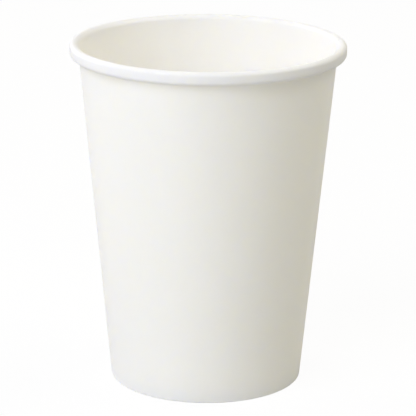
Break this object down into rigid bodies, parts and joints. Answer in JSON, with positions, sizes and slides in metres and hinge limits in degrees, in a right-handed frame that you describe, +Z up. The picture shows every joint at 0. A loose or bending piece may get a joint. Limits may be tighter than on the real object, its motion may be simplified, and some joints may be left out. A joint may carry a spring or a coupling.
{
  "type": "paper cup",
  "caption": "Plain white single-wall paper hot cup: tapered wall, rolled rim, lapped side seam and a base disc sealed into a folded foot.",
  "frame": {"origin": "centre of the foot, on the surface the cup stands on", "axes": "+Z up the cup's axis, out of its mouth; +X and +Y are level, and the inner cut edge of the side seam lies 8 degrees from +X toward +Y"},
  "size_m": [0.09, 0.09, 0.113],
  "materials": {
    "sidewall_board": "matte white cupstock, coated inside",
    "base_board": "matte white cupstock, coated on top"
  },
  "bodies": {
    "root": {"sidewall": "sidewall_board", "base_disc": "base_board"}
  },
  "joints": []
}
